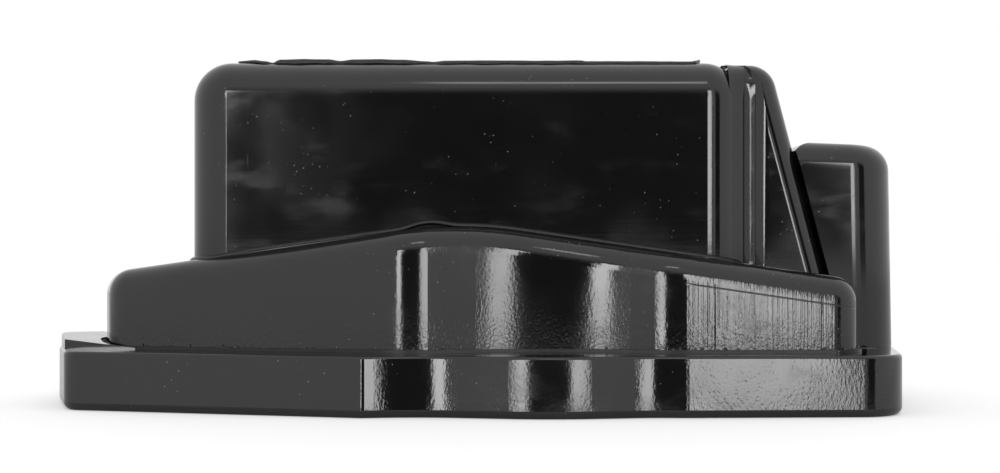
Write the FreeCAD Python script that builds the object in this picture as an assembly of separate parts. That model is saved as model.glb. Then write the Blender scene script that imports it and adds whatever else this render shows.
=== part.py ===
import FreeCAD, Part
import math
import os

from FreeCAD import Vector

# Moulded pull-up cleat head, standing on its cap. Millimetres, +Z up, +X along the shank.
# The plan is the same in front of and behind the XZ plane. The origin is the middle of the cap's outer face.

# Cap
LENGTH = 155.0
DEPTH = 71.6
CAP_THICK = 10.4
CAP_BOTTOM_R = 1.4
CAP_TOP_R = 0.6
CAP_LEFT_CORNER_R = 4.0
CAP_RIGHT_CORNER_R = 8.5
NOSE_R = 16.0

# Waves of the cap's long sides, as X, set-back from the widest place, radius, and 1 for convex or -1 for
# concave: a shoulder, a flute, the broad middle rib, a second flute and its shoulder
CAP_WAVES = (
    (-18.5, 2.0, 2.0, 1),
    (-9.6, 3.0, 37.0, -1),
    (12.9, 0.0, 37.0, 1),
    (31.6, 2.4, 26.0, -1),
    (35.3, 2.2, 4.0, 1),
)
CAP_LEFT_PANEL_TURN = 14.8
RIGHT_PANEL_TURN = 2.5
LEFT_NOSE_TURN = 18.4
RIGHT_NOSE_TURN = 9.6

# Neck: two narrow ribs a side, with one shallow flute between them, as for the cap
NECK_WAVES = (
    (-11.5, 11.2, 16.0, 1),
    (12.8, 14.8, 58.0, -1),
    (35.8, 11.4, 19.0, 1),
)
NECK_LEFT_PANEL_TURN = 14.0
NECK_LEFT_INSET = 8.8
NECK_RIGHT_INSET = 7.5
NECK_CORNER_R = 5.0
NECK_TOP_R = 4.5
NECK_FLOOR = 5.1
ARCH_APEX_X = -2.65
ARCH_APEX_Z = 33.0
ARCH_LEFT_FALL = 7.9
ARCH_RIGHT_FALL = 8.2
ARCH_R = 75.0
CORE_OUT_DEPTH = 8.0
CORE_OUT_RADIUS = 3.4
CORE_OUT_SET_BACK = 19.0
CORE_OUT_PITCH = 10.0

# Seam between cap and neck
SEAM_THICK = 0.5
SEAM_WIDTH = 5.0
SEAM_PROUD = 0.9

# Shank: the rounded box
SHANK_LEFT_SET_BACK = 25.85
SHANK_RIGHT_SET_BACK = 28.75
SHANK_DEPTH = 25.0
SHANK_TOP_Z = 62.4
SHANK_EDGE_R = 7.0
SHANK_WALL = 3.5
SHANK_ROOF = 8.0

# Lip round the shank's foot
LIP_WIDTH = 0.9
LIP_THICK = 0.6

# Strip on top of the shank
PAD_LEFT_SET_BACK = 7.9
PAD_RIGHT_SET_BACK = 7.4
PAD_SIDE_SET_BACK = 4.0
PAD_THICK = 0.8
PAD_CORNER_R = 3.0

# Ramp beside the shank
RAMP_DEPTH = 21.0
RAMP_TOP_DROP = 0.5
RAMP_TOP_WIDTH = 4.8
RAMP_SLOPE = 14.7
RAMP_TOP_R = 5.0
RAMP_EDGE_R = 4.0

# Post at the right end
POST_TOP_Z = 48.1
POST_DEPTH = 19.4
POST_RIGHT_INSET = 0.2
POST_TOP_WIDTH = 21.8
POST_CORNER_R = 8.7
POST_TOP_R = 4.8
POST_TOP_FALL = 2.2
POST_DRAFT = 1.0

# Pad on the ledge at the left nose
REST_HALF_DEPTH = 14.0
REST_OUTER_THICK = 2.3
REST_INNER_THICK = 1.2
REST_EDGE_INSET = 0.4

# Core plate in the cap
PLATE_THICK = 3.0
PLATE_LEFT_SET_BACK = 21.5
PLATE_RIGHT_SET_BACK = 4.2
PLATE_DEPTH = 26.0
PLATE_CORNER_R = 5.0

# Studs from the core plate to the top of the shank
STUD_COUNT = 4
STUD_SET_BACK = 14.2
STUD_D = 6.0
SLEEVE_OD = 9.0
WASHER_OD = 12.0
WASHER_THICK = 1.2
NUT_FLATS = 10.0
NUT_THICK = 3.2
STUD_END = 0.5
COUNTERBORE_D = 14.0
COUNTERBORE_DEPTH = 5.7

# Screws, inserts and pins
NECK_SCREW_D = 5.0
NECK_SCREW_HEAD_D = 9.4
NECK_SCREW_HEAD = 2.7
NECK_SCREW_Y = 8.2
PLATE_SCREW_D = 3.5
PLATE_SCREW_HEAD_D = 6.6
PLATE_SCREW_HEAD = 1.8
PLATE_SCREW_LENGTH = 8.0
PLATE_SCREW_Y = 8.8
PLATE_SCREW_LEFT = 7.0
PLATE_SCREW_RIGHT = 18.2
RAMP_SCREW_D = 4.0
RAMP_SCREW_HEAD_D = 7.0
RAMP_SCREW_HEAD = 2.4
RAMP_SCREW_Z = 37.0
RAMP_SCREW_PITCH = 12.0
RAMP_INSERT_OD = 6.0
RAMP_INSERT_LENGTH = 5.0
POST_SCREW_D = 4.0
POST_SCREW_HEAD_D = 7.0
POST_SCREW_HEAD = 2.6
POST_SCREW_Y = 4.6
POST_SCREW_RIGHT = 5.8
POST_INSERT_OD = 6.0
POST_INSERT_LENGTH = 8.0
DOWEL_D = 5.0
DOWEL_REACH = 6.0

# Clearances
FIT_GAP = 0.25
SCREW_GAP = 0.1
BOLT_GAP = 0.3
END_GAP = 0.3

PLATE_BOTTOM_Z = CAP_THICK - PLATE_THICK
NECK_BOTTOM_Z = CAP_THICK + SEAM_THICK
SOCKET_FLOOR_Z = NECK_BOTTOM_Z + NECK_FLOOR
CEILING_Z = SHANK_TOP_Z - SHANK_ROOF
COUNTERBORE_Z = SHANK_TOP_Z - COUNTERBORE_DEPTH
SHANK_LEFT_X = SHANK_LEFT_SET_BACK - LENGTH / 2
SHANK_RIGHT_X = LENGTH / 2 - SHANK_RIGHT_SET_BACK
SHANK_CENTRE_X = (SHANK_LEFT_X + SHANK_RIGHT_X) / 2
PLATE_LEFT_X = PLATE_LEFT_SET_BACK - LENGTH / 2
PLATE_RIGHT_X = LENGTH / 2 - PLATE_RIGHT_SET_BACK
CORE_OUT_X = CORE_OUT_SET_BACK - LENGTH / 2
RAMP_LEFT_X = SHANK_RIGHT_X + END_GAP
RAMP_TOP_Z = SHANK_TOP_Z - RAMP_TOP_DROP
POST_RIGHT_X = LENGTH / 2 - POST_RIGHT_INSET
POST_SCREW_X = POST_RIGHT_X - POST_SCREW_RIGHT
ABOVE = 20.0
NOSE_SHARE = 0.6
TOP_SHARE = 0.9
NECK_SIDE = DEPTH / 2 - max(set_back for x, set_back, radius, side in NECK_WAVES if side == 1)


def along(angle):
    """Unit vector in plan, at an angle in degrees from +X."""
    turn = math.radians(angle)
    return Vector(math.cos(turn), math.sin(turn), 0)


def meet(point_a, way_a, point_b, way_b):
    """The point in plan where two straight lines cross."""
    across = way_a.x * way_b.y - way_a.y * way_b.x
    gap = point_b - point_a
    reach = (gap.x * way_b.y - gap.y * way_b.x) / across
    return point_a + way_a * reach


def mirrored(point):
    return Vector(point.x, -point.y, point.z)


def nose_loss(turn, nose_r):
    """How far rounding draws in a nose whose walls turn away from the Y axis by an angle."""
    return nose_r * (1 / math.cos(math.radians(turn)) - 1)


def between_waves(first, second):
    """Outward normal of the straight flank that joins a convex and a concave circle, either way round."""
    (centre_a, radius_a, side_a), (centre_b, radius_b, side_b) = first, second
    gap = (centre_b - centre_a) * side_a
    lean = math.degrees(math.acos((radius_a + radius_b) / gap.Length))
    heading = math.degrees(math.atan2(gap.y, gap.x))
    options = [along(heading + lean), along(heading - lean)]
    return min(options, key=lambda normal: normal.y)


def outline(waves, grow, left_inset, right_inset, left_panel_turn, nose_r):
    """Waved outline in plan, and its corners: left tip, left corner, right corner, right tip.

    Every wave is a circle, and straight flanks join them. The tips stand out by what the nose radius takes
    off again, so that the insets hold when rounded.
    """
    circles = []
    for x, set_back, radius, side in waves:
        centre = Vector(x, side * radius + set_back - DEPTH / 2, 0)
        circles.append((centre, radius + side * grow, side))
    normals = [along(-90 - left_panel_turn)]
    normals += [between_waves(first, second) for first, second in zip(circles, circles[1:])]
    normals.append(along(-90 + RIGHT_PANEL_TURN))
    near = []
    ends = []
    for (centre, radius, side), before, after in zip(circles, normals, normals[1:]):
        middle = before + after
        middle.normalize()
        start, bend, end = [centre + normal * radius * side for normal in (before, middle, after)]
        ends.append((start, end))
        near.append(Part.Arc(start, bend, end))
    near += [Part.LineSegment(left[1], right[0]) for left, right in zip(ends, ends[1:])]

    left_tip = Vector(left_inset - LENGTH / 2 - nose_loss(LEFT_NOSE_TURN, nose_r), 0, 0)
    right_tip = Vector(LENGTH / 2 - right_inset + nose_loss(RIGHT_NOSE_TURN, nose_r), 0, 0)
    left_start, right_end = ends[0][0], ends[-1][1]
    left_corner = meet(left_start, along(180 - left_panel_turn), left_tip, along(-90 + LEFT_NOSE_TURN))
    right_corner = meet(right_end, along(RIGHT_PANEL_TURN), right_tip, along(-90 - RIGHT_NOSE_TURN))
    near += [
        Part.LineSegment(left_tip, left_corner),
        Part.LineSegment(left_corner, left_start),
        Part.LineSegment(right_end, right_corner),
        Part.LineSegment(right_corner, right_tip),
    ]
    near_edges = [curve.toShape() for curve in near]
    far_edges = [edge.mirror(Vector(0, 0, 0), Vector(0, 1, 0)) for edge in near_edges]
    wire = Part.Wire(Part.__sortEdges__(near_edges + far_edges))
    return wire, (left_tip, left_corner, right_corner, right_tip)


def corner_limit(tip, corner, corner_r):
    """Radius of a corner, at most what the nose wall beside it leaves free."""
    return min(corner_r, (1 - NOSE_SHARE) * (corner - tip).Length)


def rounded_plan(plan, low, high, nose_r, left_r, right_r):
    """Solid over a waved outline, with its noses and corners rounded as far as the nose walls allow."""
    wire, (left_tip, left_corner, right_corner, right_tip) = plan
    body = raised(wire, low, high)
    for tip, corner, turn, corner_r in ((left_tip, left_corner, LEFT_NOSE_TURN, left_r),
                                        (right_tip, right_corner, RIGHT_NOSE_TURN, right_r)):
        nose_fit = min(nose_r, NOSE_SHARE * (corner - tip).Length / math.tan(math.radians(turn)))
        corner_fit = corner_limit(tip, corner, corner_r)
        body = body.makeFillet(nose_fit, upright_edges(body, [tip]))
        body = body.makeFillet(corner_fit, upright_edges(body, [corner, mirrored(corner)]))
    return body


def raised(wire, low, high):
    """Solid between two heights over a closed outline in plan."""
    face = Part.Face(wire)
    face.translate(Vector(0, 0, low))
    return face.extrude(Vector(0, 0, high - low))


def upright_edges(shape, points):
    """Vertical edges of a solid that stand over the given points of the plan."""
    found = []
    for edge in shape.Edges:
        start, end = edge.Vertexes[0].Point, edge.Vertexes[-1].Point
        level = abs(start.z - end.z) < 1e-6
        if level:
            continue
        for point in points:
            if math.hypot(start.x - point.x, start.y - point.y) < 1e-4:
                found.append(edge)
    return found


def edges_at_height(shape, height):
    """Edges of a solid that lie flat at one height."""
    return [edge for edge in shape.Edges
            if abs(edge.BoundBox.ZMin - height) < 1e-5 and abs(edge.BoundBox.ZMax - height) < 1e-5]


def rod(x, y, low, high, diameter):
    return Part.makeCylinder(diameter / 2, high - low, Vector(x, y, low))


def rod_along_x(left, right, z, diameter):
    return Part.makeCylinder(diameter / 2, right - left, Vector(left, 0, z), Vector(1, 0, 0))


def tube(x, y, low, high, outer, inner):
    return rod(x, y, low, high, outer).cut(rod(x, y, low, high, inner))


def countersunk(x, y, top, head_d, head, shank_d, length):
    """Countersunk screw with its flat head at the given height, pointing down."""
    cone = Part.makeCone(shank_d / 2, head_d / 2, head, Vector(x, y, top - head))
    return cone.fuse(rod(x, y, top - length, top - head, shank_d))


def rounded_block(left, right, depth, low, high, corner_r):
    """Block centred on the XZ plane, with rounded upright edges."""
    block = Part.makeBox(right - left, depth, high - low, Vector(left, -depth / 2, low))
    corners = [Vector(x, y, 0) for x in (left, right) for y in (-depth / 2, depth / 2)]
    return block.makeFillet(corner_r, upright_edges(block, corners))


def under_arch(lift):
    """Everything below the arched top of the neck, which the lift raises."""
    apex = Vector(ARCH_APEX_X, 0, ARCH_APEX_Z + lift)
    left_way = Vector(-math.cos(math.radians(ARCH_LEFT_FALL)), 0, -math.sin(math.radians(ARCH_LEFT_FALL)))
    right_way = Vector(math.cos(math.radians(ARCH_RIGHT_FALL)), 0, -math.sin(math.radians(ARCH_RIGHT_FALL)))
    half_turn = math.radians(ARCH_LEFT_FALL + ARCH_RIGHT_FALL) / 2
    tangent = (ARCH_R + lift) * math.tan(half_turn)
    crown_drop = (ARCH_R + lift) * (1 / math.cos(half_turn) - 1)
    down = left_way + right_way
    down.normalize()
    left_foot = apex + left_way * LENGTH
    right_foot = apex + right_way * LENGTH
    left_low = Vector(left_foot.x, 0, -ABOVE)
    right_low = Vector(right_foot.x, 0, -ABOVE)
    left_tangent = apex + left_way * tangent
    right_tangent = apex + right_way * tangent
    edges = [
        Part.LineSegment(left_low, left_foot),
        Part.LineSegment(left_foot, left_tangent),
        Part.Arc(left_tangent, apex + down * crown_drop, right_tangent),
        Part.LineSegment(right_tangent, right_foot),
        Part.LineSegment(right_foot, right_low),
        Part.LineSegment(right_low, left_low),
    ]
    face = Part.Face(Part.Wire([edge.toShape() for edge in edges]))
    face.translate(Vector(0, -DEPTH, 0))
    return face.extrude(Vector(0, 2 * DEPTH, 0))


def stud_places():
    first, last = SHANK_LEFT_X + STUD_SET_BACK, SHANK_RIGHT_X - STUD_SET_BACK
    pitch = (last - first) / (STUD_COUNT - 1)
    return [first + pitch * index for index in range(STUD_COUNT)]


def neck_screw_places():
    studs = stud_places()
    between = [(studs[0] + studs[1]) / 2, (studs[-2] + studs[-1]) / 2]
    return [(x, y) for x in between for y in (-NECK_SCREW_Y, NECK_SCREW_Y)]


def plate_screw_places():
    ends = (PLATE_LEFT_X + PLATE_SCREW_LEFT, SHANK_CENTRE_X, PLATE_RIGHT_X - PLATE_SCREW_RIGHT)
    return [(x, y) for x in ends for y in (-PLATE_SCREW_Y, PLATE_SCREW_Y)]


def post_screw_places():
    return [(POST_SCREW_X, y) for y in (-POST_SCREW_Y, POST_SCREW_Y)]


def dowel_places():
    beside_shank = (SHANK_DEPTH / 2 + NECK_SIDE) / 2
    ribs = [x for x, set_back, radius, side in NECK_WAVES if side == 1]
    return [(x, y) for x in ribs for y in (-beside_shank, beside_shank)]


def ramp_screw_heights():
    return [RAMP_SCREW_Z, RAMP_SCREW_Z + RAMP_SCREW_PITCH]


def cap_plan(grow):
    """Outline of the cap, grown outwards."""
    return outline(CAP_WAVES, grow, -grow, -grow, CAP_LEFT_PANEL_TURN, NOSE_R + grow)


def cap_plate():
    body = rounded_plan(cap_plan(0), 0, CAP_THICK, NOSE_R, CAP_LEFT_CORNER_R, CAP_RIGHT_CORNER_R)
    body = body.makeFillet(CAP_BOTTOM_R, edges_at_height(body, 0))
    body = body.makeFillet(CAP_TOP_R, edges_at_height(body, CAP_THICK))
    cuts = [plate_blank(FIT_GAP, 0)]
    for x, y in plate_screw_places():
        cuts.append(rod(x, y, CAP_THICK - PLATE_SCREW_LENGTH - END_GAP, CAP_THICK, PLATE_SCREW_D + SCREW_GAP))
    for x, y in post_screw_places():
        low = PLATE_BOTTOM_Z - POST_SCREW_HEAD - END_GAP
        cuts.append(rod(x, y, low, CAP_THICK, POST_SCREW_HEAD_D + FIT_GAP))
    for x, y in dowel_places():
        cuts.append(rod(x, y, CAP_THICK - DOWEL_REACH - END_GAP, CAP_THICK, DOWEL_D + SCREW_GAP))
    return body.cut(cuts)


def plate_blank(side_gap, lift):
    return rounded_block(PLATE_LEFT_X - side_gap, PLATE_RIGHT_X + side_gap, PLATE_DEPTH + 2 * side_gap,
                         PLATE_BOTTOM_Z, CAP_THICK + lift, PLATE_CORNER_R + side_gap)


def core_plate():
    cuts = [rod(x, 0, PLATE_BOTTOM_Z, CAP_THICK, STUD_D + SCREW_GAP) for x in stud_places()]
    cuts += [rod(x, y, PLATE_BOTTOM_Z, CAP_THICK, NECK_SCREW_D + SCREW_GAP) for x, y in neck_screw_places()]
    cuts += [rod(x, y, PLATE_BOTTOM_Z, CAP_THICK, POST_SCREW_D + BOLT_GAP) for x, y in post_screw_places()]
    for x, y in plate_screw_places():
        cuts.append(countersunk(x, y, CAP_THICK, PLATE_SCREW_HEAD_D + SCREW_GAP, PLATE_SCREW_HEAD,
                                PLATE_SCREW_D + SCREW_GAP, PLATE_SCREW_LENGTH))
    return plate_blank(0, 0).cut(cuts)


def plate_screws():
    screws = [countersunk(x, y, CAP_THICK, PLATE_SCREW_HEAD_D, PLATE_SCREW_HEAD, PLATE_SCREW_D,
                          PLATE_SCREW_LENGTH) for x, y in plate_screw_places()]
    return Part.makeCompound(screws)


def neck_plan(grow):
    """Outline of the neck, grown outwards."""
    return outline(NECK_WAVES, grow, NECK_LEFT_INSET - grow, NECK_RIGHT_INSET - grow, NECK_LEFT_PANEL_TURN,
                   NOSE_R + grow)


def neck_prism(grow, low, high):
    """Solid over the neck's outline, grown outwards."""
    corner_r = NECK_CORNER_R + grow
    return rounded_plan(neck_plan(grow), low, high, NOSE_R + grow, corner_r, corner_r)


def seam_seal():
    ring = neck_prism(SEAM_PROUD, CAP_THICK, NECK_BOTTOM_Z)
    inside = neck_prism(SEAM_PROUD - SEAM_WIDTH, CAP_THICK, NECK_BOTTOM_Z)
    cuts = [inside, post_body(FIT_GAP)]
    cuts += [rod(x, y, CAP_THICK, NECK_BOTTOM_Z, DOWEL_D + BOLT_GAP) for x, y in dowel_places()]
    return ring.cut(cuts)


def shank_blank(grow, low, high):
    """The shank's outline, grown sideways, between two heights."""
    return rounded_block(SHANK_LEFT_X - grow, SHANK_RIGHT_X + grow, SHANK_DEPTH + 2 * grow, low, high,
                         SHANK_EDGE_R + grow)


def neck_body():
    tall = neck_prism(0, NECK_BOTTOM_Z, ARCH_APEX_Z + ABOVE)
    body = tall.common(under_arch(0))
    rim = [edge for edge in body.Edges
           if edge.BoundBox.ZMin > SOCKET_FLOOR_Z and edge.BoundBox.XLength > 1e-3]
    left_tip, left_corner = neck_plan(0)[1][:2]
    body = body.makeFillet(min(NECK_TOP_R, TOP_SHARE * corner_limit(left_tip, left_corner, NECK_CORNER_R)), rim)
    cuts = [shank_blank(FIT_GAP, SOCKET_FLOOR_Z, ARCH_APEX_Z + ABOVE), post_body(FIT_GAP)]
    cuts += [rod(x, 0, NECK_BOTTOM_Z, SOCKET_FLOOR_Z, STUD_D + BOLT_GAP) for x in stud_places()]
    for x, y in neck_screw_places():
        cuts.append(countersunk(x, y, SOCKET_FLOOR_Z, NECK_SCREW_HEAD_D + SCREW_GAP, NECK_SCREW_HEAD,
                                NECK_SCREW_D + SCREW_GAP, NECK_FLOOR))
    for x, y in dowel_places():
        cuts.append(rod(x, y, NECK_BOTTOM_Z, CAP_THICK + DOWEL_REACH + END_GAP, DOWEL_D + SCREW_GAP))
    for y in (-CORE_OUT_PITCH / 2, CORE_OUT_PITCH / 2):
        cuts.append(rod(CORE_OUT_X, y, NECK_BOTTOM_Z, NECK_BOTTOM_Z + CORE_OUT_DEPTH, 2 * CORE_OUT_RADIUS))
    return body.cut(cuts)


def neck_screws():
    length = SOCKET_FLOOR_Z - PLATE_BOTTOM_Z
    screws = [countersunk(x, y, SOCKET_FLOOR_Z, NECK_SCREW_HEAD_D, NECK_SCREW_HEAD, NECK_SCREW_D, length)
              for x, y in neck_screw_places()]
    return Part.makeCompound(screws)


def dowel_pins():
    pins = [rod(x, y, CAP_THICK - DOWEL_REACH, CAP_THICK + DOWEL_REACH, DOWEL_D) for x, y in dowel_places()]
    return Part.makeCompound(pins)


def lip_seal():
    outer = shank_blank(LIP_WIDTH, SOCKET_FLOOR_Z, ARCH_APEX_Z + ABOVE)
    ring = outer.cut(shank_blank(SCREW_GAP, SOCKET_FLOOR_Z, ARCH_APEX_Z + ABOVE))
    return ring.common(under_arch(LIP_THICK)).cut(under_arch(0))


def ramp_screw_holes(left, right, diameter):
    return [rod_along_x(left, right, z, diameter) for z in ramp_screw_heights()]


def shank_outside(grow):
    """The shank's outer form with its rounded top edges, grown on every side."""
    high = SHANK_TOP_Z + grow
    body = shank_blank(grow, SOCKET_FLOOR_Z, high)
    return body.makeFillet(SHANK_EDGE_R + grow, edges_at_height(body, high))


def shank_shell():
    body = shank_outside(0)
    cuts = [shank_blank(-SHANK_WALL, SOCKET_FLOOR_Z, CEILING_Z)]
    cuts += [rod(x, 0, CEILING_Z, SHANK_TOP_Z, STUD_D + BOLT_GAP) for x in stud_places()]
    cuts += [rod(x, 0, COUNTERBORE_Z, SHANK_TOP_Z, COUNTERBORE_D) for x in stud_places()]
    cuts += ramp_screw_holes(SHANK_RIGHT_X - SHANK_WALL, SHANK_RIGHT_X, RAMP_SCREW_D + BOLT_GAP)
    return body.cut(cuts)


def shank_core():
    body = shank_blank(-SHANK_WALL - FIT_GAP, SOCKET_FLOOR_Z, CEILING_Z - END_GAP)
    cuts = [rod(x, 0, SOCKET_FLOOR_Z, CEILING_Z, SLEEVE_OD + BOLT_GAP) for x in stud_places()]
    wall = SHANK_RIGHT_X - SHANK_WALL
    cuts += ramp_screw_holes(wall - RAMP_SCREW_HEAD - END_GAP, wall, RAMP_SCREW_HEAD_D + BOLT_GAP)
    return body.cut(cuts)


def core_studs():
    high = COUNTERBORE_Z + WASHER_THICK + NUT_THICK + STUD_END
    return Part.makeCompound([rod(x, 0, PLATE_BOTTOM_Z, high, STUD_D) for x in stud_places()])


def stud_sleeves():
    inner = STUD_D + BOLT_GAP
    return Part.makeCompound([tube(x, 0, SOCKET_FLOOR_Z, CEILING_Z, SLEEVE_OD, inner) for x in stud_places()])


def stud_washers():
    high = COUNTERBORE_Z + WASHER_THICK
    inner = STUD_D + BOLT_GAP
    return Part.makeCompound([tube(x, 0, COUNTERBORE_Z, high, WASHER_OD, inner) for x in stud_places()])


def stud_nuts():
    low = COUNTERBORE_Z + WASHER_THICK
    corner = NUT_FLATS / math.sqrt(3)
    nuts = []
    for x in stud_places():
        corners = [Vector(x, 0, low) + along(60 * index) * corner for index in range(7)]
        blank = Part.Face(Part.makePolygon(corners)).extrude(Vector(0, 0, NUT_THICK))
        nuts.append(blank.cut(rod(x, 0, low, low + NUT_THICK, STUD_D + SCREW_GAP)))
    return Part.makeCompound(nuts)


def end_pad():
    return rounded_block(SHANK_LEFT_X + PAD_LEFT_SET_BACK, SHANK_RIGHT_X - PAD_RIGHT_SET_BACK,
                         SHANK_DEPTH - 2 * PAD_SIDE_SET_BACK, SHANK_TOP_Z, SHANK_TOP_Z + PAD_THICK, PAD_CORNER_R)


def prism_across(points, depth):
    """Solid centred on the XZ plane, from the corners of its side view."""
    closed = points + [points[0]]
    face = Part.Face(Part.makePolygon([Vector(x, -depth / 2, z) for x, z in closed]))
    return face.extrude(Vector(0, depth, 0))


def ramp_slope_x(z):
    """X of the ramp's outer slope at a height."""
    return RAMP_LEFT_X + RAMP_TOP_WIDTH + (RAMP_TOP_Z - z) * math.tan(math.radians(RAMP_SLOPE))


def ramp_body(grow):
    """The ramp before rounding, grown sideways, from the socket floor's height up."""
    low = SOCKET_FLOOR_Z
    left = RAMP_LEFT_X - SHANK_EDGE_R
    points = [
        (left, low),
        (left, RAMP_TOP_Z),
        (RAMP_LEFT_X + RAMP_TOP_WIDTH + grow, RAMP_TOP_Z),
        (ramp_slope_x(low) + grow, low),
    ]
    return prism_across(points, RAMP_DEPTH + 2 * grow)


def ramp_zone():
    """Where the ramp may be: right of the shank with rounded front edges, and on the shank's rounded end."""
    flat = RAMP_DEPTH - 2 * RAMP_EDGE_R
    bridge = Part.makeBox(SHANK_EDGE_R + RAMP_EDGE_R, flat, SHANK_EDGE_R,
                          Vector(RAMP_LEFT_X - SHANK_EDGE_R, -flat / 2, RAMP_TOP_Z - SHANK_EDGE_R))
    beside = rounded_block(RAMP_LEFT_X, LENGTH, RAMP_DEPTH, SOCKET_FLOOR_Z, RAMP_TOP_Z, RAMP_EDGE_R)
    return beside.fuse(bridge)


def side_ramp():
    body = ramp_body(0)
    shoulder = [edge for edge in body.Edges
                if edge.BoundBox.ZMin > RAMP_TOP_Z - 1e-5 and edge.BoundBox.XMin > RAMP_LEFT_X + 1e-5]
    body = body.makeFillet(RAMP_TOP_R, [edge for edge in shoulder if edge.BoundBox.YLength > 1])
    rim = [edge for edge in body.Edges
           if edge.BoundBox.YLength < 1e-5 and edge.BoundBox.XMax > RAMP_LEFT_X
           and edge.BoundBox.ZMax > SOCKET_FLOOR_Z + 1]
    body = body.makeFillet(RAMP_EDGE_R, rim).common(ramp_zone())
    lip = shank_blank(LIP_WIDTH + SCREW_GAP, SOCKET_FLOOR_Z, ARCH_APEX_Z)
    cuts = [under_arch(0), lip.common(under_arch(LIP_THICK + SCREW_GAP)), shank_outside(END_GAP)]
    cuts += ramp_screw_holes(RAMP_LEFT_X, RAMP_LEFT_X + RAMP_INSERT_LENGTH, RAMP_INSERT_OD)
    return body.cut(cuts)


def ramp_screws():
    wall = SHANK_RIGHT_X - SHANK_WALL
    screws = []
    for z in ramp_screw_heights():
        head = rod_along_x(wall - RAMP_SCREW_HEAD, wall, z, RAMP_SCREW_HEAD_D)
        screws.append(head.fuse(rod_along_x(wall, RAMP_LEFT_X + RAMP_INSERT_LENGTH, z, RAMP_SCREW_D)))
    return Part.makeCompound(screws)


def ramp_inserts():
    right = RAMP_LEFT_X + RAMP_INSERT_LENGTH
    inserts = []
    for z in ramp_screw_heights():
        bore = rod_along_x(RAMP_LEFT_X, right, z, RAMP_SCREW_D + SCREW_GAP)
        inserts.append(rod_along_x(RAMP_LEFT_X, right, z, RAMP_INSERT_OD - SCREW_GAP).cut(bore))
    return Part.makeCompound(inserts)


def post_body(grow):
    """The post with rounded outer corners and a slanted inner face, grown sideways."""
    low, high = CAP_THICK, POST_TOP_Z
    left_high = POST_RIGHT_X - POST_TOP_WIDTH - grow
    left_low = left_high + (high - low) * math.tan(math.radians(RAMP_SLOPE))
    right_low = POST_RIGHT_X + grow
    right_high = right_low - (high - low) * math.tan(math.radians(POST_DRAFT))
    fall = (right_high - left_high) * math.tan(math.radians(POST_TOP_FALL))
    points = [(left_low, low), (left_high, high), (right_high, high - fall), (right_low, low)]
    body = prism_across(points, POST_DEPTH + 2 * grow)
    outer = [edge for edge in body.Edges
             if edge.BoundBox.ZLength > 1 and edge.BoundBox.XMin > (left_low + right_low) / 2]
    return body.makeFillet(POST_CORNER_R + grow, outer)


def guide_post():
    body = post_body(0)
    rim = [edge for edge in body.Edges if edge.BoundBox.ZMin > POST_TOP_Z - POST_TOP_R]
    body = body.makeFillet(POST_TOP_R, rim)
    cuts = [ramp_body(FIT_GAP)]
    high = CAP_THICK + POST_INSERT_LENGTH
    cuts += [rod(x, y, CAP_THICK, high + END_GAP, POST_INSERT_OD) for x, y in post_screw_places()]
    return body.cut(cuts)


def post_screws():
    screws = []
    for x, y in post_screw_places():
        head = rod(x, y, PLATE_BOTTOM_Z - POST_SCREW_HEAD, PLATE_BOTTOM_Z, POST_SCREW_HEAD_D)
        shank = rod(x, y, PLATE_BOTTOM_Z, CAP_THICK + POST_INSERT_LENGTH, POST_SCREW_D)
        screws.append(head.fuse(shank))
    return Part.makeCompound(screws)


def post_inserts():
    high = CAP_THICK + POST_INSERT_LENGTH
    inserts = [tube(x, y, CAP_THICK, high, POST_INSERT_OD - SCREW_GAP, POST_SCREW_D + SCREW_GAP)
               for x, y in post_screw_places()]
    return Part.makeCompound(inserts)


def rest_pad():
    """Low pad on the ledge at the left nose; its top falls towards the neck."""
    body = rounded_plan(cap_plan(-REST_EDGE_INSET), CAP_THICK, CAP_THICK + REST_OUTER_THICK,
                        NOSE_R - REST_EDGE_INSET, CAP_LEFT_CORNER_R, CAP_RIGHT_CORNER_R)
    inner = NECK_LEFT_INSET - LENGTH / 2
    outer = -LENGTH / 2
    zone = Part.makeBox(NECK_LEFT_INSET + NOSE_R, 2 * REST_HALF_DEPTH, REST_OUTER_THICK,
                        Vector(outer, -REST_HALF_DEPTH, CAP_THICK))
    body = body.common(zone).cut(neck_prism(SEAM_PROUD + FIT_GAP, CAP_THICK, CAP_THICK + ABOVE))
    high = CAP_THICK + REST_OUTER_THICK
    fall = (REST_OUTER_THICK - REST_INNER_THICK) / (inner - outer)
    reach = NECK_LEFT_INSET + NOSE_R
    wedge = prism_across([(outer, high), (outer + reach, high - fall * reach), (outer + reach, high)],
                         DEPTH)
    return body.cut(wedge)


NODES = [
    cap_plate, core_plate, plate_screws, rest_pad, seam_seal, neck_body, neck_screws, dowel_pins,
    lip_seal, shank_shell, shank_core, core_studs, stud_sleeves, stud_washers, stud_nuts, end_pad,
    side_ramp, ramp_screws, ramp_inserts, guide_post, post_screws, post_inserts,
]


def main():
    os.makedirs("parts", exist_ok=True)
    for make in NODES:
        shape = make()
        solids = shape.Solids
        volume = sum(solid.Volume for solid in solids)
        print(make.__name__, "solids", len(solids), "valid", shape.isValid(), "volume", round(volume, 1))
        if len(solids) == 1:
            shape = solids[0]
        shape.exportStep("parts/" + make.__name__ + ".step")


main()
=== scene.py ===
import math

import bpy
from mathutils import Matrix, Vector, noise
from mathutils.bvhtree import BVHTree


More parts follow.
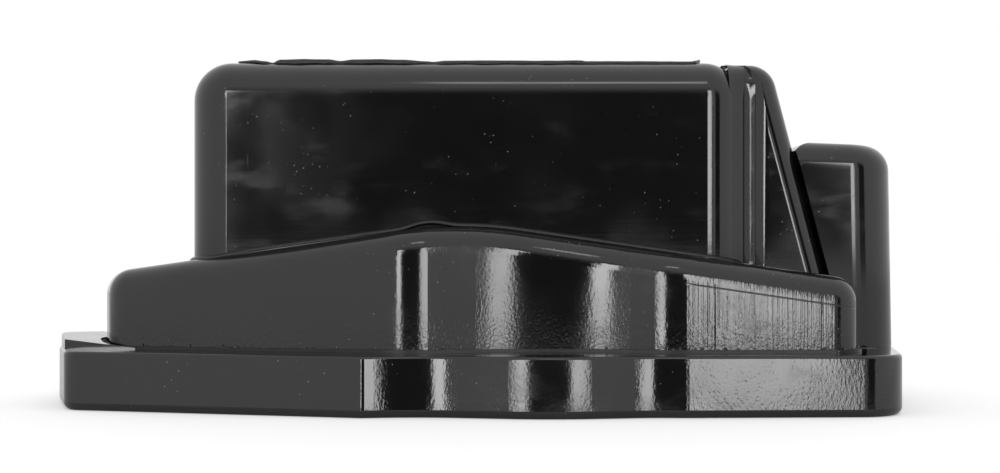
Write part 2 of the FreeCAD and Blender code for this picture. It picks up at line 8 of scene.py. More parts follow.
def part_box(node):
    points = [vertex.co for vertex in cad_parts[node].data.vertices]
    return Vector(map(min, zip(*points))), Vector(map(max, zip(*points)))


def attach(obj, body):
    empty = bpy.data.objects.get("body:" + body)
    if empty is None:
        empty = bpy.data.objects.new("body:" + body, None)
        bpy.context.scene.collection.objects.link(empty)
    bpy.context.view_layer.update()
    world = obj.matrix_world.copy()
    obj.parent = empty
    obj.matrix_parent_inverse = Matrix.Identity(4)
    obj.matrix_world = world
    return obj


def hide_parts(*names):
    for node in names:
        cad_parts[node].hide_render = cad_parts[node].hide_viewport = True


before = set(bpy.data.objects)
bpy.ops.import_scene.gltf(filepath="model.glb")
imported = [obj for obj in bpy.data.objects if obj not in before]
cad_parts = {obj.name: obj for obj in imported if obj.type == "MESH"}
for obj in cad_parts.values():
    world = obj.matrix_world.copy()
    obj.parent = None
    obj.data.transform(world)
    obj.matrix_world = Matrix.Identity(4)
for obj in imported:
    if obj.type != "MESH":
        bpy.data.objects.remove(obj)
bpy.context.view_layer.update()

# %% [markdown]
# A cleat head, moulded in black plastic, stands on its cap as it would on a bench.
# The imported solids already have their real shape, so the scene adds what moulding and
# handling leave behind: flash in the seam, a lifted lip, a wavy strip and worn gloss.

MM = 0.001
BODY = "root"


def extent(node):
    """Lowest and highest corner of a node, as vectors in metres."""
    low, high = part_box(node)
    return Vector(low), Vector(high)


cap_low, cap_high = extent("cap_plate")
neck_low, neck_high = extent("neck_body")
shank_low, shank_high = extent("shank_shell")
strip_low, strip_high = extent("end_pad")
post_low, post_high = extent("guide_post")
print("cap", [round(v / MM, 1) for v in cap_high - cap_low], "mm")

# %% [markdown]
# The camera comes first, set at the photograph's view.
# The verticals of the photograph are parallel, so the camera looks level, and a small
# shift puts the horizon where the photograph has it.

# %% Camera at the photograph's view
FOCAL_LENGTH_MM = 57.6
CAMERA_X = 4.45 * MM
CAMERA_Y = -299.8 * MM
CAMERA_Z = 28.1 * MM
HORIZON_SHIFT = 0.0135

camera_data = bpy.data.cameras.new("photo_camera")
camera_data.lens = FOCAL_LENGTH_MM
camera_data.sensor_width = 36.0
camera_data.shift_y = HORIZON_SHIFT
camera_data.clip_start = 0.01
camera = bpy.data.objects.new("photo_camera", camera_data)
camera.location = (CAMERA_X, CAMERA_Y, CAMERA_Z)
camera.rotation_euler = (math.pi / 2, 0, 0)
bpy.context.collection.objects.link(camera)
bpy.context.scene.camera = camera

# %% [markdown]
# A shader is a formula over the surface. Writing it as Python arithmetic keeps it
# readable: a small class wraps one socket, and each operator adds one Math node.

# %% Shader formulas as Python expressions


class Signal:
    """One value that a node tree passes on, mostly a number that varies over the surface."""

    def __init__(self, graph, socket):
        self.graph = graph
        self.socket = socket

    def math(self, operation, *others):
        inputs = {index: value for index, value in enumerate((self,) + others)}
        return self.graph.node("ShaderNodeMath", {"operation": operation}, inputs)

    def __add__(self, other):
        return self.math("ADD", other)

    def __radd__(self, other):
        return self.math("ADD", other)

    def __mul__(self, other):
        return self.math("MULTIPLY", other)

    def __rmul__(self, other):
        return self.math("MULTIPLY", other)

    def __sub__(self, other):
        return self.math("SUBTRACT", other)

    def __rsub__(self, other):
        return self.graph.node("ShaderNodeMath", {"operation": "SUBTRACT"}, {0: other, 1: self})

    def floor(self, least):
        """The signal, but never less than a number."""
        return self.math("MAXIMUM", least)

    def above(self, low, high):
        """0 below low, 1 above high, and smooth between them."""
        settings = {"interpolation_type": "SMOOTHSTEP"}
        return self.graph.node("ShaderNodeMapRange", settings, {0: self, 1: low, 2: high, 3: 0.0, 4: 1.0})


class Graph:
    """A node tree; every node comes from one method."""

    def node(self, kind, settings=None, inputs=None, output=0):
        made = self.tree.nodes.new(kind)
        for key, value in (settings or {}).items():
            setattr(made, key, value)
        for key, value in (inputs or {}).items():
            if isinstance(value, Signal):
                self.tree.links.new(value.socket, made.inputs[key])
            else:
                made.inputs[key].default_value = value
        return Signal(self, made.outputs[output]) if len(made.outputs) else made


class Sheet(Graph):
    """The node tree of one material."""

    def __init__(self, name):
        self.material = bpy.data.materials.new(name)
        self.material.use_nodes = True
        self.tree = self.material.node_tree
        self.tree.nodes.clear()

    def place(self):
        return self.node("ShaderNodeTexCoord", output="Object")

    def stretched(self, x=1.0, y=1.0, z=1.0):
        """Object coordinates, scaled along each axis."""
        return self.node("ShaderNodeMapping", None, {"Vector": self.place(), "Scale": (x, y, z)})

    def axis(self, letter):
        return self.node("ShaderNodeSeparateXYZ", None, {0: self.place()}, "XYZ".index(letter))

    def noise(self, where, per_metre, detail=2.0, rough=0.5):
        settings = {"noise_dimensions": "3D"}
        inputs = {"Vector": where, "Scale": per_metre, "Detail": detail, "Roughness": rough}
        return self.node("ShaderNodeTexNoise", settings, inputs)

    def cells(self, where, per_metre):
        """Distance to the nearest of many scattered points, as a share of their spacing."""
        return self.node("ShaderNodeTexVoronoi", {"feature": "F1"}, {"Vector": where, "Scale": per_metre})

    def blend(self, factor, first, second):
        settings = {"data_type": "RGBA"}
        return self.node("ShaderNodeMix", settings, {0: factor, 6: first, 7: second}, 2)

    def bump(self, height):
        """Normal that follows a height in metres."""
        return self.node("ShaderNodeBump", None, {"Height": height, "Distance": 1.0, "Strength": 1.0})

    def finish(self, varying, fixed):
        shader = self.node("ShaderNodeBsdfPrincipled", None, {**fixed, **varying})
        self.node("ShaderNodeOutputMaterial", None, {"Surface": shader})
        return self.material


# %% [markdown]
# The plastic is one compound in every moulding, but each mould left its own surface.
# What they share: a slow waviness that bends reflections, wrinkles that grow towards the
# foot, shallow handling scratches, rub marks that dull the gloss and specks of pale dust.
# The bump also turns whole walls a little: draft leans them back, so that they mirror less
# of the floor, and lean turns the right end towards the right lamp.

# %% Moulded black plastic
BLACK = (0.0055, 0.0055, 0.0057, 1.0)
WORN_BLACK = (0.012, 0.012, 0.012, 1.0)
DUST = (0.3, 0.3, 0.29, 1.0)
PLASTIC_IOR = 1.55
MICRON = 1e-6

# How many of each mark there are in a metre.
SLOW_WAVES = 150.0
WRINKLES = 2300.0
PITS = 1300.0
DULL_PATCHES = 60.0
RUB_MARKS = 120.0
SCRATCHES = 190.0
SPECKS = 720.0
DUSTY_PLACES = 140.0
TOOL_LINES = 2300.0
BROAD_LINES = 420.0
POLISH_STROKES = 1500.0

# Depths of the marks in microns, and how far along Z or X they are drawn out.
SCRATCH_DEPTH = 0.6
BROAD_LINE_DEPTH = 12.0
PARTING_LINE_DEPTH = 40.0
WRINKLE_DRAW = 0.45
LINE_DRAW = 0.012
STROKE_DRAW = 0.02

# The right end is tooled, and a thin parting line falls along it below the neck's top.
RIGHT_END_X = 36 * MM
RIGHT_END_FADE = 2 * MM
PARTING_Z = 22.4 * MM
PARTING_FALL = 0.145
PARTING_HALF = 0.16 * MM


def moulded_black(name, wave, crinkle, pits=0.5, draft=0.0, lean=0.0, tooled=0.0, polished=0.0, gloss=0.07):
    """Glossy moulded plastic; heights are in microns, draft and lean turn the walls in degrees."""
    sheet = Sheet(name)
    place = sheet.place()
    along = sheet.axis("X")
    high = sheet.axis("Z")
    low, top = extent(name)
    slow = sheet.noise(place, SLOW_WAVES, 1.0)
    wrinkled = sheet.noise(sheet.stretched(z=WRINKLE_DRAW), WRINKLES, 2.0, 0.6)
    low_zone = 1.0 - high.above(low.z, (low.z + top.z) / 2) * 0.55
    pitted = sheet.cells(place, PITS).above(0.0, 0.5)
    patch = sheet.noise(place, DULL_PATCHES, 2.0).above(0.42, 0.66)
    rub = sheet.noise(sheet.stretched(0.6, 0.6, 1.3), RUB_MARKS, 4.0, 0.6).above(0.5, 0.78)
    scratches = sheet.noise(sheet.stretched(9.0, 9.0, 0.5), SCRATCHES, 2.0).above(0.7, 0.74)
    speck = 1.0 - sheet.cells(place, SPECKS).above(0.04, 0.09)
    dust = speck * sheet.noise(place, DUSTY_PLACES, 2.0).above(0.44, 0.72)

    height = slow * wave + wrinkled * low_zone * crinkle + pitted * patch * pits - scratches * SCRATCH_DEPTH
    if tooled:
        lines = sheet.noise(sheet.stretched(z=LINE_DRAW), TOOL_LINES, 2.0, 0.7)
        broad = sheet.noise(sheet.stretched(z=LINE_DRAW), BROAD_LINES, 1.0).above(0.62, 0.66)
        zone = along.above(RIGHT_END_X, RIGHT_END_X + RIGHT_END_FADE)
        over = high + (along - RIGHT_END_X) * PARTING_FALL - PARTING_Z
        parting = over.above(-PARTING_HALF, 0.0) - over.above(0.0, PARTING_HALF)
        height = height + (lines * tooled - broad * BROAD_LINE_DEPTH - parting * PARTING_LINE_DEPTH) * zone
    if polished:
        height = height + sheet.noise(sheet.stretched(x=STROKE_DRAW), POLISH_STROKES, 3.0, 0.6) * polished
    leaning = (along - RIGHT_END_X).floor(0.0) * math.tan(math.radians(lean))
    height = height * MICRON - high * math.tan(math.radians(draft)) - leaning
    rough = rub * 0.08 + patch * 0.05 + dust * 0.4 + gloss
    colour = sheet.blend(rub * 0.5, BLACK, WORN_BLACK)
    colour = sheet.blend(dust, colour, DUST)
    varying = {"Base Color": colour, "Roughness": rough, "Normal": sheet.bump(height)}
    return sheet.finish(varying, {"IOR": PLASTIC_IOR})


# %% Finishes of the mouldings
finishes = {
    "cap_plate": moulded_black("cap_plate", wave=14, crinkle=17, pits=5.0, draft=3.6, lean=1.2),
    "rest_pad": moulded_black("rest_pad", wave=8, crinkle=3),
    "neck_body": moulded_black("neck_body", wave=10, crinkle=15, pits=4.0, draft=2.0, lean=1.2, tooled=22.0),
    "shank_shell": moulded_black("shank_shell", wave=5, crinkle=2.0, pits=0.6, polished=2.5),
    "side_ramp": moulded_black("side_ramp", wave=5, crinkle=3.0),
    "guide_post": moulded_black("guide_post", wave=5, crinkle=2.0, lean=-0.8, gloss=0.08),
}

# %% [markdown]
# Steel, brass and the filler are inside and hardly show, but each still gets the marks that turning or
# moulding leaves.

# %% Metals, elastomer and filler
TURNED_RING = 2.0
TURNED_RINGS = 4000.0
STAINS = 220.0
STAIN_SHADE = 0.72
GRAIN = 2500.0
LINT = 700.0
LINTY_PLACES = 160.0


def turned_metal(name, colour, dull):
    """Stained metal with the fine rings that turning leaves."""
    sheet = Sheet(name)
    rings = sheet.noise(sheet.stretched(0.05, 0.05), TURNED_RINGS, 2.0)
    stain = sheet.noise(sheet.place(), STAINS, 3.0)
    shade = sheet.blend(stain, colour, tuple(STAIN_SHADE * part for part in colour[:3]) + (1.0,))
    normal = sheet.bump(rings * (TURNED_RING * MICRON))
    rough = rings * 0.15 + stain * 0.1 + dull
    return sheet.finish({"Base Color": shade, "Roughness": rough, "Normal": normal}, {"Metallic": 1.0})


def soft_black(name, gloss, shade=0.006, grit=8.0):
    """Torn or rubbery black; grit is the height of its grain in microns."""
    sheet = Sheet(name)
    grain = sheet.noise(sheet.place(), GRAIN, 3.0)
    lint = 1.0 - sheet.cells(sheet.place(), LINT).above(0.05, 0.1)
    lint = lint * sheet.noise(sheet.place(), LINTY_PLACES, 1.0).above(0.5, 0.6)
    colour = sheet.blend(lint, (shade, shade, shade, 1.0), DUST)
    normal = sheet.bump(grain * (grit * MICRON))
    return sheet.finish({"Base Color": colour, "Roughness": grain * 0.15 + gloss, "Normal": normal}, {})


stainless = turned_metal("stainless", (0.58, 0.57, 0.55, 1.0), 0.22)
brass = turned_metal("brass", (0.66, 0.46, 0.19, 1.0), 0.2)
seal_black = soft_black("seal_black", 0.3)
torn_black = soft_black("torn_black", 0.2, shade=0.02, grit=30.0)
strip_black = soft_black("strip_black", 0.25)
core_filler = soft_black("core_filler", 0.5)
for node in ("core_plate", "plate_screws", "neck_screws", "dowel_pins", "core_studs", "stud_sleeves",
             "stud_washers", "stud_nuts", "ramp_screws", "post_screws"):
    finishes[node] = stainless
finishes.update(ramp_inserts=brass, post_inserts=brass, seam_seal=seal_black, lip_seal=seal_black)
finishes.update(end_pad=strip_black, shank_core=core_filler)

for node, finish in finishes.items():
    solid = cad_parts[node]
    solid.data.materials.clear()
    solid.data.materials.append(finish)
print("finishes", len(finishes))

# %% [markdown]
# The pieces that the solids only stand for follow walls of the solids. A ray that is cast
# at a solid's own mesh finds its wall, so a bead lies on it wherever the solid goes.

# %% Rays that find a wall, and a band swept along a path
AIM_SHARE = 0.9


def surface_of(node):
    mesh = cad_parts[node].data
    corners = [vertex.co.copy() for vertex in mesh.vertices]
    return BVHTree.FromPolygons(corners, [tuple(face.vertices) for face in mesh.polygons])


def wall_at(surface, turn, height, long_reach, side_reach):
    """Where a long solid's wall stands, seen from a bearing round its long axis."""
    start = Vector((2 * long_reach * math.cos(turn), 2 * side_reach * math.sin(turn), height))
    aim = Vector((AIM_SHARE * (long_reach - side_reach) * math.cos(turn), 0, height))
    hit, normal, index, distance = surface.ray_cast(start, (aim - start).normalized())
    return hit, normal


def new_piece(name, corners, faces, finish, slot, *nodes):
    """Mesh piece at the origin that rides on the body and may stand for solids."""
    mesh = bpy.data.meshes.new(name)
    mesh.from_pydata(corners, [], faces)
    mesh.materials.append(finish)
    for face in mesh.polygons:
        face.use_smooth = True
    piece = bpy.data.objects.new(name, mesh)
    bpy.context.collection.objects.link(piece)
    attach(piece, BODY)
    if nodes:
        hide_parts(*nodes)
    return piece


def swept(rings, closed):
    """Corners and faces of a tube through rings of equal length, joined up or capped."""
    corners = [point for ring in rings for point in ring]
    size = len(rings[0])
    last = len(rings) if closed else len(rings) - 1
    faces = []
    for index in range(last):
        first, second = index * size, (index + 1) % len(rings) * size
        for side in range(size):
            after = (side + 1) % size
            faces.append((first + side, second + side, second + after, first + after))
    if not closed:
        faces.append(tuple(range(size)))
        faces.append(tuple(reversed(range(last * size, (last + 1) * size))))
    return corners, faces


# %% [markdown]
# Where the neck was welded to the cap, molten plastic was squeezed out and tore. It is a
# thin bead of uneven thickness with crumbs on it, and it stops where the post stands. It
# follows a path and repeats, so it is a Geometry Nodes tree: a curve that wanders, a round
# section, and crumbs scattered on it.

# %% Path of the flash along the seam
neck_surface = surface_of("neck_body")
BEAD_STEPS = 420
BEAD_OPEN_DEG = 20
BEAD_LIFT = 0.25 * MM
BEAD_OUT = 0.2 * MM
PROBE_OVER_SEAM = 0.4 * MM
POST_CLEAR = 1.0 * MM
seam_z = cap_high.z + BEAD_LIFT
bead_path = []
for step in range(BEAD_STEPS + 1):
    turn = math.radians(BEAD_OPEN_DEG + (360 - 2 * BEAD_OPEN_DEG) * step / BEAD_STEPS)
    hit, normal = wall_at(neck_surface, turn, neck_low.z + PROBE_OVER_SEAM, neck_high.x, neck_high.y)
    if hit and (hit.x < post_low.x - POST_CLEAR or abs(hit.y) > post_high.y):
        outward = Vector((normal.x, normal.y, 0)).normalized()
        bead_path.append(Vector((hit.x, hit.y, seam_z)) + outward * BEAD_OUT)
print("flash path", len(bead_path), "points")

curve = bpy.data.curves.new("seam_flash_path", "CURVE")
curve.dimensions = "3D"
line = curve.splines.new("POLY")
line.points.add(len(bead_path) - 1)
for point, place in zip(line.points, bead_path):
    point.co = (*place, 1.0)
flash_source = bpy.data.objects.new("seam_flash_source", curve)
bpy.context.collection.objects.link(flash_source)

# %% Tree that makes the flash


class Growth(Graph):
    """A Geometry Nodes tree with named inputs."""

    def __init__(self, name, sizes):
        self.tree = bpy.data.node_groups.new(name, "GeometryNodeTree")
        face = self.tree.interface
        face.new_socket("Geometry", in_out="INPUT", socket_type="NodeSocketGeometry")
        for label, value in sizes.items():
            face.new_socket(label, in_out="INPUT", socket_type="NodeSocketFloat").default_value = value
        face.new_socket("Geometry", in_out="OUTPUT", socket_type="NodeSocketGeometry")
        entry = self.tree.nodes.new("NodeGroupInput")
        self.given = {socket.name: Signal(self, socket) for socket in entry.outputs if socket.name}
        self.sizes = sizes

    def close(self, geometry, finish):
        real = self.node("GeometryNodeRealizeInstances", None, {0: geometry})
        smooth = self.node("GeometryNodeSetShadeSmooth", None, {0: real})
        dressed = self.node("GeometryNodeSetMaterial", None, {"Geometry": smooth, "Material": finish})
        self.node("NodeGroupOutput", None, {0: dressed})

    def grow(self, name, source, slot):
        """Runs the tree on a source object and keeps the result as a plain mesh piece."""
        modifier = source.modifiers.new(name, "NODES")
        modifier.node_group = self.tree
        for item in self.tree.interface.items_tree:
            if item.in_out == "INPUT" and item.name in self.sizes:
                modifier[item.identifier] = self.sizes[item.name]
        depsgraph = bpy.context.evaluated_depsgraph_get()
        mesh = bpy.data.meshes.new_from_object(source.evaluated_get(depsgraph))
        source.modifiers.remove(modifier)
        piece = bpy.data.objects.new(name, mesh)
        bpy.context.collection.objects.link(piece)
        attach(piece, BODY)
        bpy.data.objects.remove(source)
        return piece


FLASH_SEED = 4
FULL_TURN = 6.28
flash = Growth("flash_tree", {"Step": 0.35 * MM, "Thickness": 0.24 * MM, "Wander": 0.5 * MM,
                              "Crumb Spacing": 1.3 * MM, "Crumb Size": 0.6 * MM})
path = flash.node("GeometryNodeResampleCurve", {"mode": "LENGTH"},
                  {"Curve": flash.given["Geometry"], "Length": flash.given["Step"]})
place = flash.node("GeometryNodeInputPosition")
drift = flash.node("ShaderNodeTexNoise", None, {"Vector": place, "Scale": 420.0, "Detail": 3.0}, 1)
drift = flash.node("ShaderNodeVectorMath", {"operation": "SUBTRACT"}, {0: drift, 1: (0.5, 0.5, 0.5)})
drift = flash.node("ShaderNodeVectorMath", {"operation": "SCALE"}, {0: drift, "Scale": flash.given["Wander"]})
path = flash.node("GeometryNodeSetPosition", None, {"Geometry": path, "Offset": drift})
swell = flash.node("ShaderNodeTexNoise", None, {"Vector": place, "Scale": 260.0, "Detail": 3.0})
radius = swell.above(0.35, 0.72) * flash.given["Thickness"] + flash.given["Thickness"] * 0.45
section = flash.node("GeometryNodeCurvePrimitiveCircle", None, {"Resolution": 8, "Radius": 1.0})
bead = flash.node("GeometryNodeCurveToMesh", None,
                  {"Curve": path, "Profile Curve": section, "Scale": radius, "Fill Caps": True})
dots = flash.node("GeometryNodeCurveToPoints", {"mode": "LENGTH"},
                  {"Curve": path, "Length": flash.given["Crumb Spacing"]})
crumb = flash.node("GeometryNodeMeshIcoSphere", None,
                   {"Radius": flash.given["Crumb Size"], "Subdivisions": 2})
spin = flash.node("FunctionNodeRandomValue", {"data_type": "FLOAT_VECTOR"},
                  {0: (0.0, 0.0, 0.0), 1: (FULL_TURN, FULL_TURN, FULL_TURN), "Seed": FLASH_SEED})
squash = flash.node("FunctionNodeRandomValue", {"data_type": "FLOAT_VECTOR"},
                    {0: (0.3, 0.2, 0.15), 1: (1.5, 0.8, 0.6), "Seed": FLASH_SEED + 1})
crumbs = flash.node("GeometryNodeInstanceOnPoints", None,
                    {"Points": dots, "Instance": crumb, "Rotation": spin, "Scale": squash})
both = flash.tree.nodes.new("GeometryNodeJoinGeometry")
for part in (bead, crumbs):
    flash.tree.links.new(part.socket, both.inputs[0])
flash.close(Signal(flash, both.outputs[0]), torn_black)
seam_flash = flash.grow("seam_flash", flash_source, "seal_black")
print("flash faces", len(seam_flash.data.polygons))

# %% [markdown]
# A thin lip runs round the foot of the box. In front, near its middle, it has come away
# from the neck and left a dark lens. It is a small section swept along a rounded
# rectangle, at the height that a ray from above finds on the neck.

# %% Lip round the foot of the box
LIP_OUT = 0.9 * MM
LIP_HIGH = 0.85 * MM
LENS_LEFT_X = -14.5 * MM
LENS_RIGHT_X = -2.4 * MM
LENS_LIFT = 0.75 * MM
LENS_TILT = 0.15
LIP_RAGGED = 0.09 * MM
LIP_STEPS = 700
PROBE_OUT = 1.6 * MM
FRONT_FACING = -0.9
LIP_SECTION = [(0.02, -0.25), (0.55, -0.2), (0.95, 0.12), (0.8, 0.5), (0.35, 0.85), (0.02, 0.9)]
TILTED_POINT = 1
SHANK_ROUND_R = 7.0 * MM
shank_mid = (shank_low + shank_high) / 2
shank_half = (shank_high - shank_low) / 2


def round_box_path(half_x, half_y, radius, steps):
    """Points and outward directions round a rounded rectangle, evenly spaced."""
    straight_x, straight_y = 2 * (half_x - radius), 2 * (half_y - radius)
    quarter = math.pi / 2 * radius
    total = 2 * (straight_x + straight_y) + 4 * quarter
    runs = [(straight_x, -90), (straight_y, 0), (straight_x, 90), (straight_y, 180)]
    starts = [(-half_x + radius, -half_y), (half_x, -half_y + radius),
              (half_x - radius, half_y), (-half_x, half_y - radius)]
    for index in range(steps):
        reach = total * index / steps
        for (length, facing), start in zip(runs, starts):
            out = math.radians(facing)
            way = Vector((-math.sin(out), math.cos(out), 0))
            normal = Vector((math.cos(out), math.sin(out), 0))
            if reach <= length:
                yield Vector((*start, 0)) + way * reach, normal
                break
            reach -= length
            if reach <= quarter:
                bend = Vector((*start, 0)) + way * length - normal * radius
                normal = Vector((math.cos(out + reach / radius), math.sin(out + reach / radius), 0))
                yield bend + normal * radius, normal
                break
            reach -= quarter


lip_rings = []
for point, outward in round_box_path(shank_half.x, shank_half.y, SHANK_ROUND_R, LIP_STEPS):
    point = point + Vector((shank_mid.x, 0, 0))
    above = point + outward * PROBE_OUT + Vector((0, 0, shank_high.z))
    hit, normal, index, distance = neck_surface.ray_cast(above, Vector((0, 0, -1)))
    foot = hit.z if hit else neck_high.z
    ragged = noise.noise(point * 900) * LIP_RAGGED
    share = (point.x - LENS_LEFT_X) / (LENS_RIGHT_X - LENS_LEFT_X)
    in_lens = 0 < share < 1 and outward.y < FRONT_FACING
    lift = LENS_LIFT * math.sin(math.pi * share) ** 2 if in_lens else 0.0
    base = point + Vector((0, 0, foot + lift))
    ring = []
    for index, (out, up) in enumerate(LIP_SECTION):
        if index == TILTED_POINT:
            up += lift / MM * LENS_TILT
        ring.append(base + outward * (out * LIP_OUT + ragged) + Vector((0, 0, up * LIP_HIGH)))
    lip_rings.append(ring)
corners, faces = swept(lip_rings, True)
lip = new_piece("foot_lip", corners, faces, seal_black, "seal_black", "lip_seal")
print("lip faces", len(lip.data.polygons))

# %% [markdown]
# The strip on top is a skin of flash that was never trimmed. It waves along the box,
# thins out to the right, curls up at the left end and stands up at the right end. Its
# thickness is a list of places along the box, because it follows no rule.

# %% Wavy strip on top of the box
STRIP_STEPS = 260
STRIP_HALF_Y = 7.6 * MM
STRIP_EDGE_SHARE = 0.35
STRIP_SUNK = 0.02 * MM
STRIP_LEAST = 0.05 * MM
LEFT_TIP_SHARE = 0.055
RIGHT_TIP_SHARE = 0.014
TIP_CURL = 0.3 * MM
TIP_NARROWS = 0.35
EDGE_WANDER = 0.5 * MM
RIPPLE = 0.05 * MM
STRIP_ACROSS = [-1.0, -0.97, -0.8, -0.4, 0.0, 0.4, 0.8, 0.97, 1.0]
STRIP_THICK = [(-43.8, 0.45), (-40.5, 0.6), (-38.6, 0.42), (-37.2, 0.12), (-35.8, 0.7), (-31.0, 0.8),
               (-27.0, 0.72), (-24.8, 0.45), (-22.5, 0.72), (-18.0, 0.78), (-13.5, 0.68), (-9.0, 0.4),
               (-7.8, 0.3), (-5.5, 0.5), (3.0, 0.55), (12.0, 0.5), (19.4, 0.55), (20.2, 0.42), (30.0, 0.4),
               (39.6, 0.36), (40.3, 0.5), (41.6, 0.8)]
strip_length = strip_high.x - strip_low.x
flat_half = shank_half.y - SHANK_ROUND_R


def smooth(share):
    """Eases a share between 0 and 1 in and out."""
    return share * share * (3 - 2 * share)


def shank_top_at(y):
    """Height of the box's rounded top at a distance from its middle."""
    over = max(0.0, abs(y) - flat_half)
    return shank_high.z - SHANK_ROUND_R + math.sqrt(SHANK_ROUND_R ** 2 - over ** 2)


def strip_thickness(x):
    """Thickness of the skin at a place along the box, eased between the listed places."""
    for (start, first), (end, second) in zip(STRIP_THICK, STRIP_THICK[1:]):
        if x <= end * MM:
            share = max(0.0, (x / MM - start) / (end - start))
            return (first + (second - first) * smooth(share)) * MM
    return STRIP_THICK[-1][1] * MM


strip_rings = []
for step in range(STRIP_STEPS + 1):
    share = step / STRIP_STEPS
    x = strip_low.x + strip_length * share
    tip = max(0.0, 1 - share / LEFT_TIP_SHARE, 1 - (1 - share) / RIGHT_TIP_SHARE)
    thick = strip_thickness(x)
    curl = TIP_CURL * tip
    half = STRIP_HALF_Y * (1 - TIP_NARROWS * tip) + noise.noise(Vector((x * 260, 0, 0))) * EDGE_WANDER
    top, bottom = [], []
    for part in STRIP_ACROSS:
        y = half * part
        base = shank_top_at(y)
        ripple = noise.noise(Vector((x * 420, y * 300, 3.0))) * RIPPLE
        edge = STRIP_EDGE_SHARE if abs(part) == 1.0 else 1.0
        over = min(base + thick * edge + ripple, strip_high.z)
        top.append(Vector((x, y, over)))
        bottom.append(Vector((x, y, min(base - STRIP_SUNK + curl, over - STRIP_LEAST))))
    strip_rings.append(bottom + top[::-1])
corners, faces = swept(strip_rings, False)
strip = new_piece("wavy_strip", corners, faces, strip_black, "strip_black", "end_pad")
print("strip faces", len(strip.data.polygons))

# %% [markdown]
# Between the box and the ramp the plastic flowed together, so the groove between their
# rounded edges is shallow, and it fades out over the top.

# %% Plastic that closes the groove
GROOVE_PROFILE = [(-2.9, 1.45), (-2.1, 2.0), (-1.1, 2.55), (-0.25, 2.95), (0.0, 3.2), (0.25, 3.05),
                  (1.0, 2.9), (1.9, 2.66)]
GROOVE_STEPS = 40
GROOVE_THICK = 1.6 * MM
GROOVE_OFFSET = 0.05 * MM
GROOVE_BELOW_NECK = 9 * MM
GROOVE_FADE = 0.85
WALL_SHARE = 0.5
ROUND_SHARE = 0.4
SHARP_EDGE_DEG = 35
groove_x = shank_high.x + GROOVE_OFFSET
round_z = shank_high.z - SHANK_ROUND_R
groove_drop = round_z - neck_high.z + GROOVE_BELOW_NECK


def groove_ring(step):
    """Section of the plastic: down the wall, round the top edge or on the top, from back to front."""
    share = abs(step) / GROOVE_STEPS
    side = -1 if step < 0 else 1
    turn = min(1.0, max(0.0, (WALL_SHARE - share) / ROUND_SHARE))
    bend = math.pi / 2 * turn
    drop = max(0.0, share - WALL_SHARE) / (1 - WALL_SHARE) * groove_drop
    fade = 1 - GROOVE_FADE * smooth(turn)
    outer = [(out * MM, deep * MM * fade) for out, deep in GROOVE_PROFILE]
    inner = [(out, deep + GROOVE_THICK) for out, deep in reversed(outer)]
    ring = []
    for out, deep in outer + inner:
        reach = SHANK_ROUND_R - deep
        y = side * (flat_half + reach * math.cos(bend))
        ring.append(Vector((groove_x + out, y, round_z + reach * math.sin(bend) - drop)))
    return ring


flow_rings = [groove_ring(step) for step in range(-GROOVE_STEPS, GROOVE_STEPS + 1)]
corners, faces = swept(flow_rings, False)
flow = new_piece("groove_flow", corners, faces, finishes["side_ramp"], "ramp_gloss")
flow.data.set_sharp_from_angle(angle=math.radians(SHARP_EDGE_DEG))
print("groove faces", len(flow.data.polygons))

# %% [markdown]
# Black gloss is seen by what it reflects. The photograph has a dark camera side with an
# upright bright band at each end of it, pale grey beyond, and more dark farther right. The
# cards and lamps stand far off, so that both ends of the part mirror them alike. The floor
# is white to the camera, as the backdrop is, and keeps the shadow of the part.

# %% Floor, dark cards and soft lamps


def stage_plane(name, corners, material):
    mesh = bpy.data.meshes.new(name)
    mesh.from_pydata(corners, [], [tuple(range(len(corners)))])
    mesh.materials.append(material)
    plane = bpy.data.objects.new(name, mesh)
    bpy.context.collection.objects.link(plane)
    return plane


FLOOR = 6.0
FLOOR_LIFT = 0.3
FLOOR_GRAIN = 20.0
floor_sheet = Sheet("pale_floor")
floor_grain = floor_sheet.noise(floor_sheet.place(), FLOOR_GRAIN)
floor_shade = floor_sheet.blend(floor_grain, (0.9, 0.9, 0.9, 1.0), (0.93, 0.93, 0.93, 1.0))
seen_share = floor_sheet.node("ShaderNodeLightPath")
floor_glow = floor_sheet.blend(seen_share, (0.0, 0.0, 0.0, 1.0), (FLOOR_LIFT, FLOOR_LIFT, FLOOR_LIFT, 1.0))
floor_paint = floor_sheet.finish({"Base Color": floor_shade, "Emission Color": floor_glow},
                                 {"Roughness": 0.9, "Emission Strength": 1.0, "Specular IOR Level": 0.0})
stage_plane("floor", [(-FLOOR, -FLOOR, 0), (FLOOR, -FLOOR, 0), (FLOOR, FLOOR, 0), (-FLOOR, FLOOR, 0)],
            floor_paint)

CARD_DISTANCE = 5.2
CARD_HEIGHT = 4.7
CARD_FADE_FROM = 1.5
CARD_OVER_FLOOR = 0.002
CARD_BLACK = (0.004, 0.004, 0.004, 1.0)
NO_GLOW = (0.0, 0.0, 0.0, 1.0)
WHITE_GLOW = (1.0, 1.0, 1.0, 1.0)
card_sheet = Sheet("dark_card")
card_glow = card_sheet.blend(card_sheet.axis("Z").above(CARD_FADE_FROM, CARD_HEIGHT), NO_GLOW, WHITE_GLOW)
card_paint = card_sheet.finish({"Emission Color": card_glow},
                               {"Base Color": CARD_BLACK, "Roughness": 1.0, "Emission Strength": 1.0})


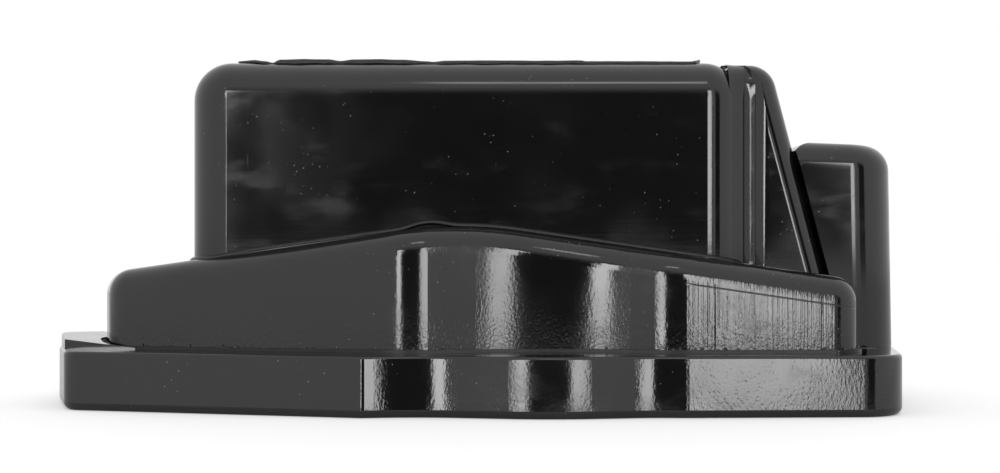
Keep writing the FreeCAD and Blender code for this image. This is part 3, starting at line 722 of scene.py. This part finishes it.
def dark_card(name, left_bearing, right_bearing):
    """Upright dark card between two bearings; it fades to white at its top."""
    left = CARD_DISTANCE * math.tan(math.radians(left_bearing))
    right = CARD_DISTANCE * math.tan(math.radians(right_bearing))
    low, high = CARD_OVER_FLOOR, CARD_HEIGHT
    corners = [(left, -CARD_DISTANCE, low), (right, -CARD_DISTANCE, low), (right, -CARD_DISTANCE, high),
               (left, -CARD_DISTANCE, high)]
    stage_plane(name, corners, card_paint).visible_camera = False


dark_card("front_card", -18.5, 21.5)
dark_card("side_card", 31.0, 45.0)

LAMP_DISTANCE = 5.0
LAMP_HEIGHT = 2.5


def area_lamp(name, place, width, height, radiance):
    """Soft rectangular lamp of a given brightness that looks at the part."""
    data = bpy.data.lights.new(name, "AREA")
    data.shape = "RECTANGLE"
    data.size = width
    data.size_y = height
    data.energy = radiance * math.pi * width * height
    lamp = bpy.data.objects.new(name, data)
    lamp.location = place
    lamp.rotation_euler = Vector(place).to_track_quat("Z", "Y").to_euler()
    bpy.context.collection.objects.link(lamp)


def strip_lamp(name, left_bearing, right_bearing, radiance):
    """Upright lamp between two bearings, measured from the camera's side."""
    bearing = math.radians((left_bearing + right_bearing) / 2)
    width = 2 * LAMP_DISTANCE * math.tan(math.radians(right_bearing - left_bearing) / 2)
    place = (LAMP_DISTANCE * math.sin(bearing), -LAMP_DISTANCE * math.cos(bearing), LAMP_HEIGHT / 2)
    area_lamp(name, place, width, LAMP_HEIGHT, radiance)


strip_lamp("left_lamp", -17.3, -11.3, 10.0)
strip_lamp("right_lamp", 12.9, 20.4, 8.5)
area_lamp("top_lamp", (0.12, -1.1, 1.5), 0.42, 0.2, 3.0)

# %% White surroundings, softer as light than they look
SEEN_WHITE = 1.0
LIGHT_FROM_WORLD = 0.75
world = bpy.data.worlds.new("studio")
bpy.context.scene.world = world
world.use_nodes = True
tree = world.node_tree
tree.nodes.clear()
paths = tree.nodes.new("ShaderNodeLightPath")
seen = tree.nodes.new("ShaderNodeBackground")
seen.inputs["Strength"].default_value = SEEN_WHITE
soft = tree.nodes.new("ShaderNodeBackground")
soft.inputs["Strength"].default_value = LIGHT_FROM_WORLD
pick = tree.nodes.new("ShaderNodeMixShader")
either = tree.nodes.new("ShaderNodeMath")
either.operation = "MAXIMUM"
sky = tree.nodes.new("ShaderNodeOutputWorld")
tree.links.new(paths.outputs["Is Camera Ray"], either.inputs[0])
tree.links.new(paths.outputs["Is Glossy Ray"], either.inputs[1])
tree.links.new(either.outputs[0], pick.inputs[0])
tree.links.new(soft.outputs[0], pick.inputs[1])
tree.links.new(seen.outputs[0], pick.inputs[2])
tree.links.new(pick.outputs[0], sky.inputs[0])
for background in (seen, soft):
    background.inputs["Color"].default_value = (1.0, 1.0, 1.0, 1.0)

bpy.context.scene.view_settings.view_transform = "Standard"
